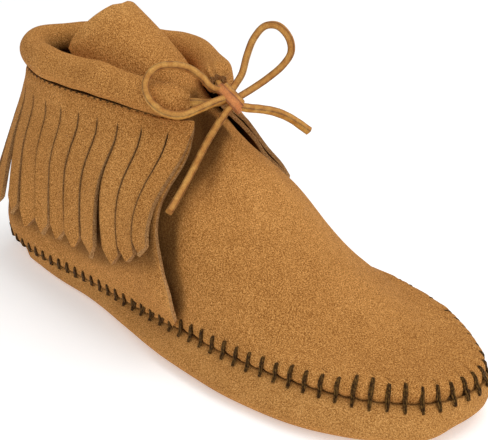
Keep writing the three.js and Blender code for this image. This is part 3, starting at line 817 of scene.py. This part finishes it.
def vamp_angle_height(run, across):
    """Where a place of the vamp's grid lies on the skin, from the seam (run 0) to the tongue's end (run 1)."""
    side = 2 * across - 1
    end_height = lerp(tongue_top - tongue_half, tongue_top, np.cos(side * math.pi / 2).clip(0) ** 0.78)
    end_share = end_height / quarter_top
    heel, ridge = level_x("heel", end_share), level_x("ridge", end_share)
    end = tongue_end + tongue_lean * (1 - side**2)
    end_angle = math.pi - np.arccos(1 - 2 * np.minimum((end - heel) / (ridge - heel), 1))
    height = ridge_height(run) * quarter_top * end_height / tongue_top
    spread = lerp(math.pi - wing_angle, end_angle / np.maximum(np.abs(side), 1e-6), run**2)
    return math.pi + side * spread, height


def toe_wall(angle, height):
    """How far the gathered leather bulges out above the seam round the toe."""
    turn = np.mod(angle, full_turn)
    round_toe = smooth(1.9, 2.6, turn) * (1 - smooth(4.5, 5.2, turn))
    return 2.4 * round_toe * bell(height, 4.5, 4) * smooth(0, 2.5, height)


row_spacing = 1.25


def vamp_place(v, u):
    angle, height = vamp_angle_height(v**row_spacing, u)
    points, normal = skin("vamp", angle, height), skin_normal("vamp", angle, height)
    fullness = 0.5 * bell(height, 3, 3.5) + soft_noise(points, 9, 11) * 0.3 * np.exp(-height / 14)
    lumps = soft_noise(points, 38, 5) * 0.45 * smooth(4, 20, height) * (1 - 0.85 * smooth(88, 104, height))
    move = fullness + lumps + toe_wall(angle, height) - fold_depth(points, vamp_folds)
    return sew_in(points, normal, height, move, pucker=1.0, tuck=1.3)


def vamp_shade(points, v, u):
    """Painted shade: the folds, the gap beside the quarter's outer edge and the holes at the stitches' tops are
    dark. The tongue's rubbed end is a little lighter.
    """
    height = vamp_angle_height(v**row_spacing, u)[1]
    ahead = points[:, 0] - from_heel(front_along["outer"](height / quarter_top))
    gap_shade = (0.7 + 0.22 * smooth(56, 80, height)) * bell(np.clip(ahead, 0, None), 0, 3.4) * (points[:, 1] < 0)
    gap_shade = gap_shade * smooth(4, 14, height) * (1 - smooth(94, 104, height))
    hole_shade = 0.9 * bell(height, stitch_above(points[:, 0]), 0.9) * (1 - gather(seam_foot(points))) ** 3
    rubbed = 0.25 * smooth(0.96, 1, v)
    return fold_depth(points, vamp_folds) * 0.16 + gap_shade + hole_shade + seam_shade(points, height) - rubbed


add_suede("vamp_and_tongue", grid_mesh("vamp_and_tongue", 108, 424, vamp_place, shade=vamp_shade), "upper")

# %% [markdown]
# ## Quarter
# The quarter wraps round the heel and laps over the vamp. Its front edges are left raw and stand off the
# vamp a little, which makes the dark gap that the photo shows, deepened on the outer side by painted shade on
# the vamp. It is a grid too, from one front edge round the heel to the other, with its lower edge sewn in
# under the stitches.

# %% Quarter
def front_angle(side, height):
    share = height / quarter_top
    heel, nose = level_x("heel", share), level_x("nose", share)
    turn = np.arccos(np.clip(1 - 2 * (from_heel(front_along[side](share)) - heel) / (nose - heel), -1, 1))
    return turn if side == "outer" else -turn


def collar_run(side, steps=100):
    """Even steps along the collar's outline, as shares of the front edge's angle, and their arc lengths."""
    t = np.linspace(0, 1, steps + 1)
    return t, arc_length(skin("quarter", t * front_angle(side, quarter_top), quarter_top))


collar_runs = {side: collar_run(side) for side in signs}
collar_length = sum(run[-1] for _, run in collar_runs.values())


def quarter_angle(u, height):
    share = {}
    for side, (t, run) in collar_runs.items():
        share[side] = np.interp(np.abs(u) * run[-1], run, t) * front_angle(side, height)
    return np.where(u < 0, share["outer"], share["inner"])


def quarter_inner(height):
    """How far outside the skin the quarter's inner face lies: sewn in below, lapped over the vamp above."""
    return lerp(-suede / 2, clearance, smooth(0, 8, height))


def quarter_point(u, height, distance):
    angle = quarter_angle(u, height)
    normal = skin_normal("quarter", angle, height)
    return skin("quarter", angle, height) + normal * np.asarray(distance)[..., None]


def front_curl(around, height):
    """How far the front edges stand off: the outer one curls out, the inner one is drawn in."""
    outer = smooth(0.86, 1, -around) * bell(height, 40, 26) * (1.9 + 0.9 * np.sin(height / 6.5))
    drawn = 2.8 * smooth(30, 58, height) * (1 - smooth(84, 96, height)) + 2.6 * bell(height, 66, 12)
    return outer - drawn * smooth(0.7, 1, around)


quarter_folds = [
    ((-30, -6, 22), (-24, -16, 50), 7, 0.7),
    ((76, -42, 24), (92, -40, 40), 6, 0.8),
    ((20, -34, 20), (46, -36, 26), 8, 0.6),
]


def quarter_place(v, u):
    around, height = 1 - 2 * u, v * quarter_top
    points = quarter_point(around, height, quarter_inner(height) + suede)
    normal = skin_normal("quarter", quarter_angle(around, height), height)
    lumps = soft_noise(points, 30, 8) * 0.5 * smooth(3, 14, height) * (1 - smooth(0.8, 1, v))
    move = lumps - fold_depth(points, quarter_folds) + front_curl(around, height)
    return sew_in(points, normal, height, move, pucker=0.9, tuck=1.1)


fringe_drop = 73
strip_drops = {"round": [0, 0.3, 0.7, 1], "drop": [0.945, 1, 0.986, 0.78]}
strip_drop = column(strip_drops, "round", "drop")


def nominal_height(height):
    """The skin's own height of a place on the quarter that lies a real height above the floor."""
    return (height - seam_height_heel) / (1 - seam_height_heel / quarter_top)


def quarter_shade(points, v, u):
    """Painted shadow of the fringe, reaching a little below the strips' tips, and the seam's painted shade. The
    rubbed front edges are a little lighter.
    """
    height = v * quarter_top
    foot = nominal_height(collar_height - fringe_drop * strip_drop(np.abs(1 - 2 * u)))
    fringe_shadow = 0.06 + 0.62 * smooth(foot - 15, foot - 3, height)
    rubbed = 0.3 * smooth(0.985, 1, np.abs(2 * u - 1))
    return seam_shade(points, height) + fringe_shadow - rubbed


add_suede("quarter", grid_mesh("quarter", 72, 520, quarter_place, shade=quarter_shade), "upper")
print("collar length in mm:", round(float(collar_length)))

# %% [markdown]
# ## Rolled collar
# A strip of suede is rolled into a tube on the quarter's top edge, and the thong runs inside it. Its grid
# goes along the tube and round it, and its two ends are merged along the tube. Both mouths are gathered
# round the thong, so small pleats run back from them.

# %% Collar
mouth_radius = 2.2 + suede
pleat_count, pleat_depth = 8, 0.5


def collar_point(u):
    angle = quarter_angle(u, quarter_top)
    edge = skin("quarter", angle, quarter_top)
    outward = unit(skin_normal("quarter", angle, quarter_top) * [1, 1, 0])
    point = edge + outward * clearance
    point[..., 2] = collar_height - collar_drop(edge[..., 0], edge[..., 1])
    return point


def roll_along(v):
    """Places along the collar, closer together towards its two mouths."""
    t = 2 * v - 1
    return 1.25 * t - 0.25 * t**3


def roll_place(v, u):
    along, turn = roll_along(v), u * full_turn
    here = collar_point(along)
    ahead = unit(collar_point(np.minimum(along + 0.01, 1)) - collar_point(np.maximum(along - 0.01, -1)))
    outward = np.stack([ahead[:, 1], -ahead[:, 0], 0 * along], -1)
    gathered = smooth(0.93, 1, np.abs(along))
    radius = lerp(roll_radius, mouth_radius, gathered)
    pleats = pleat_depth * np.sin(turn * pleat_count + 3 * np.sin(turn)) * smooth(0.84, 0.98, np.abs(along))
    points = here + outward * (radius * np.cos(turn))[:, None]
    points[:, 2] += radius * np.sin(turn)
    lumps = soft_noise(points, 22, 21) * 0.45 * (1 - gathered)
    return points + unit(points - here) * (lumps + pleats)[:, None]


def roll_shade(points, v, u):
    # Painted shade on the roll's underside and in its gathered mouths
    under = 0.15 * (1 - smooth(-1, -0.5, np.sin(u * full_turn)))
    return under + 0.35 * smooth(0.95, 1, np.abs(roll_along(v)))


add_suede("rolled_collar", grid_mesh("rolled_collar", 260, 40, roll_place, closed=True, shade=roll_shade),
          "collar_roll")

# %% [markdown]
# ## Fringe
# The fringe is one piece of suede, cut into strips below a band. Its grid has six cells across each strip
# and one for the slit after it, and the slits' cells are deleted below the band. Each strip is given
# its own small swing, twist and length, because no two strips of a real fringe hang alike.

# %% Fringe
strips_a_side = 11
first_strip = 0.86
cells_a_strip = 7
columns_a_side = cells_a_strip * strips_a_side
fringe_columns = 2 * columns_a_side - 1
fringe_rows, band_rows = 60, 9
band_depth, half_slit = 7.5, 0.36
top_raised, top_drawn_in = 0.6, 0.9
strip_bow, strip_curve = 1.1, 1.2
tip_rows = {"down": [0, 0.9, 0.925, 0.95, 0.975, 1], "width": [1, 1, 0.84, 0.58, 0.32, 0.06]}
tip_width = column(tip_rows, "down", "width")
fringe_top = quarter_top - clearance
fringe_foot = nominal_height(collar_height - fringe_drop)


def fringe_stand_off(around, height):
    """How far outside the skin the fringe's outer face hangs."""
    hang = np.clip((fringe_top - height) / (fringe_top - fringe_foot), 0, None)
    flare = lerp(4.2, 1, smooth(0.1, 0.9, np.abs(around))) * hang**2.5
    off = (0.7 + 0.6 * smooth(0, 0.3, hang) + 1.5 * hang**2) * (1 - 0.75 * smooth(0.75, 1, np.abs(around)))
    return quarter_inner(height) + suede + off + flare + suede


# Distance from each front edge back round the leg, at several heights, so that a strip keeps its cut width
measured_heights = np.linspace(fringe_top, fringe_foot - 8, 16)
measured_turns = np.linspace(1, -0.06, 120)
distances = {side: np.array([
    arc_length(quarter_point(sign * measured_turns, height, fringe_stand_off(measured_turns, height)))
    for height in measured_heights]) for side, sign in signs.items()}


def turn_at(side, height, distance):
    """The place round the collar (0 heel, 1 front edge) that lies a distance behind the front edge."""
    by_height = np.array([np.interp(distance, row, measured_turns) for row in distances[side]])
    level_place = np.interp(height, measured_heights[::-1], np.arange(len(measured_heights))[::-1])
    low = np.clip(level_place.astype(int), 0, len(measured_heights) - 2)
    share = level_place - low
    here = np.arange(len(np.atleast_1d(height)))
    return by_height[low, here] * (1 - share) + by_height[low + 1, here] * share


# For each strip, from the front edge back to the heel: how far the slit behind it opens at its tip, in mm,
# where its tip points, as a share of its half width towards the heel, and how much longer it is, in mm. The
# fourth slit hangs open on the outer side.
openings = {"outer": [2.0, 0.6, 0.9, 4.6, 0.7, 0.6, 0.7, 0.8, 1.3, 2.2, 2.8],
            "inner": [2.2, 1.2, 1.8, 1.2, 2.8, 1.2, 1.4, 2.2, 1.6, 2.2, 2.6]}
tips = {"outer": [0.25, 0.1, 0.15, -0.2, -0.1, 0.2, 0.1, 0.25, 0.1, 0.3, 0.1],
        "inner": [0.1, 0.3, -0.1, 0.2, 0.1, -0.2, 0.15, 0.2, 0.3, 0.1, -0.1]}
longer = {"outer": [0.5, 0.8, 0.6, -0.4, -0.8, -0.5, 0, 0.8, -1, 1.2, -1.2],
          "inner": [0, 1, -0.6, 0.6, 0.2, -0.8, 0.9, 0, 0.8, -1, 0.5]}
swing = random.Random(7)
habit_ranges = {"flare": (-0.3, 1.4), "twist": (-0.9, 0.9), "cup": (0.1, 0.6)}
habits = {side: [{key: swing.uniform(*ends) for key, ends in habit_ranges.items()} for _ in range(strips_a_side)]
          for side in signs}


def side_of_fringe(side, v, column_place):
    """Points of one side of the fringe. column_place counts vertices from the front edge back to the heel."""
    sign = signs[side]
    strip = np.clip(column_place // cells_a_strip, 0, strips_a_side - 1).astype(int)
    side_to_side = (column_place - strip * cells_a_strip) / (cells_a_strip - 1) * 2 - 1
    flare, twist, cup = (np.array([h[key] for h in habits[side]])[strip] for key in habit_ranges)
    row = v * fringe_rows
    down = np.clip((row - band_rows) / (fringe_rows - band_rows), 0, 1)
    pitch = (np.interp(0, -measured_turns, distances[side][0]) - 0.4) / (strips_a_side - 1 + first_strip)
    width = pitch * np.where(strip == 0, first_strip, 1)
    shift = np.cumsum(openings[side])[strip] * down**1.3
    round_share = 1 - (strip + 0.5) / strips_a_side
    foot = nominal_height(collar_height - fringe_drop * strip_drop(round_share) - np.array(longer[side])[strip])
    band_foot = fringe_top - band_depth
    height = np.where(row <= band_rows, lerp(fringe_top, band_foot, row / band_rows), lerp(band_foot, foot, down))
    height += top_raised * (1 - smooth(0, 1.2, row))
    cut = half_slit * smooth(0, 0.06, down)
    half = (width / 2 - cut) * tip_width(down)
    lean = np.array(tips[side])[strip] * pitch / 2 * smooth(0.9, 1, down)
    bow = strip_bow * np.sin(down * math.pi) * np.where(strip == 0, (side_to_side + 1) / 2, 1)
    curve = strip_curve * np.sin(down * math.pi) * np.array(tips[side])[strip]
    middle = np.where(strip == 0, first_strip / 2, first_strip + strip - 0.5) * pitch
    distance = middle + shift + side_to_side * half + lean + curve - bow
    around = turn_at(side, height, distance)
    own = (flare * down**2 + twist * side_to_side * down**1.5
           + cup * (side_to_side**2 - 0.4) * smooth(0.05, 0.5, down))
    drawn_in = top_drawn_in * (1 - smooth(0, 2.5, row))
    stand_off = fringe_stand_off(around, height) + front_curl(sign * around, height) - drawn_in
    return quarter_point(sign * around, height, stand_off + np.maximum(own, -0.4))


def from_front(column):
    """Columns counted back from the nearer front edge."""
    return np.where(column < columns_a_side, column, fringe_columns - column)


def fringe_place(v, u):
    column = np.rint(u * fringe_columns)
    points = np.empty((len(u), 3))
    for side, here in (("outer", column < columns_a_side), ("inner", column >= columns_a_side)):
        points[here] = side_of_fringe(side, v[here], from_front(column[here]))
    return points


def fringe_keep(row, column):
    return (row < band_rows) | (from_front(column).astype(int) % cells_a_strip < cells_a_strip - 1)


def fringe_shade(points, v, u):
    cell = from_front(np.rint(u * fringe_columns)) % cells_a_strip
    row = v * fringe_rows
    # Painted shade along the edges of each slit, fading towards the tips, and along the top edge under the roll
    at_edge = np.minimum(cell, cells_a_strip - 1 - cell) < 0.5
    edges = at_edge * (0.4 - 0.3 * smooth(0.85, 0.95, v)) * smooth(band_rows, band_rows + 2, row)
    return 0.2 * (1 - smooth(0, 1.5, row)) + edges


add_suede("fringe_skirt", grid_mesh("fringe_skirt", fringe_rows, fringe_columns, fringe_place, fringe_keep,
                                    shade=fringe_shade), "fringe", bevel=0.3)

# %% [markdown]
# ## Seam stitches
# The vamp and the quarter are sewn to the sole by hand with thick waxed thread. Each stitch stands across the
# seam: 5 to 7 mm of it lies on the upper and about 2.5 mm on the sole, and both ends go down into the leather.
# The thread is three plies that lie side by side and wind a little, so the light catches each of them.

# %% Waxed thread
def make_thread():
    finish = Finish("waxed thread", Specular_IOR_Level=0.08)
    tone = finish.noise(0.9, 2).step(0.35, 0.7)
    colour = finish.mix(tint(58, 36, 14), tint(116, 84, 40), tone)
    # Painted shade on the side of each ply that faces the leather
    colour = finish.mix(colour, tint(30, 20, 10), finish.attribute("ply_shade") * 0.8)
    return finish.done(Base_Color=colour, Roughness=0.5 + tone * 0.2)


waxed_thread = make_thread()

# %% Stitches
plies, ply_radius, ply_spread, ply_depth, twist_a_mm = 3, 0.46, 0.58, 0.3, 0.16
points_a_stitch, stitch_proud, ends_sunk = 13, 0.5, 1.5


def piece_at(angle):
    """Which piece of the upper lies outside at an angle of the seam."""
    turn = np.mod(angle + math.pi, full_turn) - math.pi
    behind = (turn < front_angle("outer", 0.0)) & (turn > front_angle("inner", 0.0))
    return "quarter" if behind else "vamp"


def stitch_line(angle, above, below, lean=0.0):
    """Points up the face of the leather across the seam, from the sole's rim upwards, in mm."""
    heights = np.linspace(-below, above, points_a_stitch)
    piece = piece_at(angle)
    up, down = np.clip(heights, 0, None), np.clip(-heights, 0, None)
    turn = above_seam(piece, angle, up, lean)
    out = 0.45 + toe_wall(turn, up) if piece == "vamp" else quarter_inner(up) + suede
    upper_normal = skin_normal(piece, turn, np.maximum(up, 0.5))
    on_upper = skin(piece, turn, up) + upper_normal * out[:, None]
    edge, flat = seam_edge(angle)
    share = np.clip(down / max(edge[2] - sole_floor(edge[0]), 1), 0, 1)
    on_sole = edge + flat * (sole_rim + swell(edge[0], edge[1]) * share * 1.6)[:, None]
    on_sole[:, 2] -= down
    over = smooth(-1.2, 1.2, heights)[:, None]
    normal = unit(lerp(flat, upper_normal, over))
    ends = smooth(0.8, 1, np.abs(np.linspace(-1, 1, points_a_stitch)))
    pulled_in = 0.9 * smooth(3.3, 3.7, angle) * (1 - smooth(4.6, 5.2, angle))
    proud = stitch_proud - pulled_in - ends_sunk * ends
    return lerp(on_sole, on_upper, over) + normal * proud[:, None], normal


def add_ply(bm, ply_shade_layer, line, normal, phase, size, around=6):
    """One ply of one stitch: a thin tube that winds round the stitch's line."""
    side = unit(np.cross(unit(np.gradient(line, axis=0)), normal))
    run = arc_length(line)
    fullness = size * (0.3 + 0.7 * np.sin(math.pi * run / run[-1]) ** 0.7)
    turn = phase + run * twist_a_mm
    middle = line + side * (ply_spread * fullness * np.cos(turn))[:, None]
    middle = middle + normal * (ply_depth * fullness * np.sin(turn))[:, None]
    rings = []
    for i, point in enumerate(middle):
        ring = []
        for k in range(around):
            way = k / around * full_turn
            reach = ply_radius * fullness[i]
            where = point + side[i] * reach * math.cos(way) + normal[i] * reach * math.sin(way)
            vert = bm.verts.new(where * MM)
            # Painted shade: 1 on the side that faces the leather, 0 on the side that faces out
            vert[ply_shade_layer] = 0.5 - 0.5 * math.sin(way)
            ring.append(vert)
        rings.append(ring)
    join_rings(bm, rings)


def stitches_mesh(name, lines, plies, size=1.0):
    bm = bmesh.new()
    ply_shade_layer = bm.verts.layers.float.new("ply_shade")
    for line, normal in lines:
        for ply in range(plies):
            add_ply(bm, ply_shade_layer, line, normal, ply / plies * full_turn, size)
    for face in bm.faces:
        face.smooth = True
    bmesh.ops.recalc_face_normals(bm, faces=bm.faces)
    return into_mesh(bm, name)


hand = random.Random(4)
crossing_place, crossing_reach = 86, 12
lines = []
for index in range(stitch_count):
    place = index * stitch_pitch
    angle = float(np.interp(place, seam_run, seam_turns))
    x = float(np.interp(place, seam_run, seam_points[:, 0]))
    above = stitch_above(x) * hand.uniform(0.92, 1.06)
    below = lerp(1.9, 2.6, smooth(0, 90, x)) * hand.uniform(0.85, 1.1)
    lean = 0.4 if piece_at(angle) == "quarter" and angle < math.pi else 0.0
    lines.append(stitch_line(angle, above, below, lean))
    if abs(x - crossing_place) < crossing_reach:
        lines.append(stitch_line(angle, above * 0.8, 0.6, 0.9 if angle < math.pi else -0.9))
add_piece("seam_stitches", stitches_mesh("seam_stitches", lines, plies), [], "thong", waxed_thread)
print("seam stitches:", len(lines))

# %% [markdown]
# ## Stitches under the rolled collar
# A fine running stitch holds the roll and the fringe to the quarter. It shows as a row of short dark threads in
# the crease just below the roll.

# %% Collar stitches
collar_pitch, collar_stitch = 3.4, 2.6
ends = np.linspace(-1, 1, 5)
collar_lines = []
for side, sign in signs.items():
    side_length = collar_runs[side][1][-1]
    for index in range(1, int(side_length / collar_pitch)):
        turns = 1 - index * collar_pitch / side_length + ends / 2 * collar_stitch / side_length
        height = np.full(len(ends), fringe_top + 0.5 + hand.uniform(-0.12, 0.12))
        sunk = 0.8 + 0.5 * ends**2
        line = quarter_point(sign * turns, height, fringe_stand_off(turns, height) - sunk)
        collar_lines.append((line, skin_normal("quarter", quarter_angle(sign * turns, height), height)))
collar_mesh = stitches_mesh("collar_stitches", collar_lines, plies=2, size=0.5)
add_piece("collar_stitches", collar_mesh, [], "thong", waxed_thread)
print("collar stitches:", len(collar_lines))

# %% [markdown]
# ## Floor and light
# The photo is a plain studio shot on white, with soft light from above and no hard shadow, so the floor is
# white, every lamp is large and the world itself is bright.

# %% Floor and light
def make_floor(size=6):
    finish = Finish("studio white", Base_Color=(0.92, 0.92, 0.92), Roughness=0.9, Specular_IOR_Level=0.1,
                    Emission_Color=(1.0, 1.0, 1.0), Emission_Strength=0.34)
    bm = bmesh.new()
    bmesh.ops.create_grid(bm, x_segments=1, y_segments=1, size=size)
    floor = add_object("floor", into_mesh(bm, "floor"))
    floor.data.materials.append(finish.material)


def add_lamp(name, place, aim, width, watts):
    data = bpy.data.lights.new(name, "AREA")
    data.shape, data.size, data.energy = "SQUARE", width, watts
    lamp = add_object(name, data)
    way = Vector(aim) - Vector(place)
    lamp.matrix_world = Matrix.Translation(Vector(place)) @ way.to_track_quat("-Z", "Y").to_matrix().to_4x4()


make_floor()
middle = (0.09, 0, 0.05)
add_lamp("top", (0.5, 0.25, 1.5), middle, 1.2, 10)
add_lamp("key", (-0.5, -1.1, 1.3), middle, 0.9, 1.4)
add_lamp("front fill", (1.2, -0.3, 0.8), middle, 1.0, 3.4)
world = bpy.data.worlds.new("white studio")
bpy.context.scene.world = world
world.use_nodes = True
fill(world.node_tree, world.node_tree.nodes["Background"], {"Color": (1, 1, 1), "Strength": 0.43})
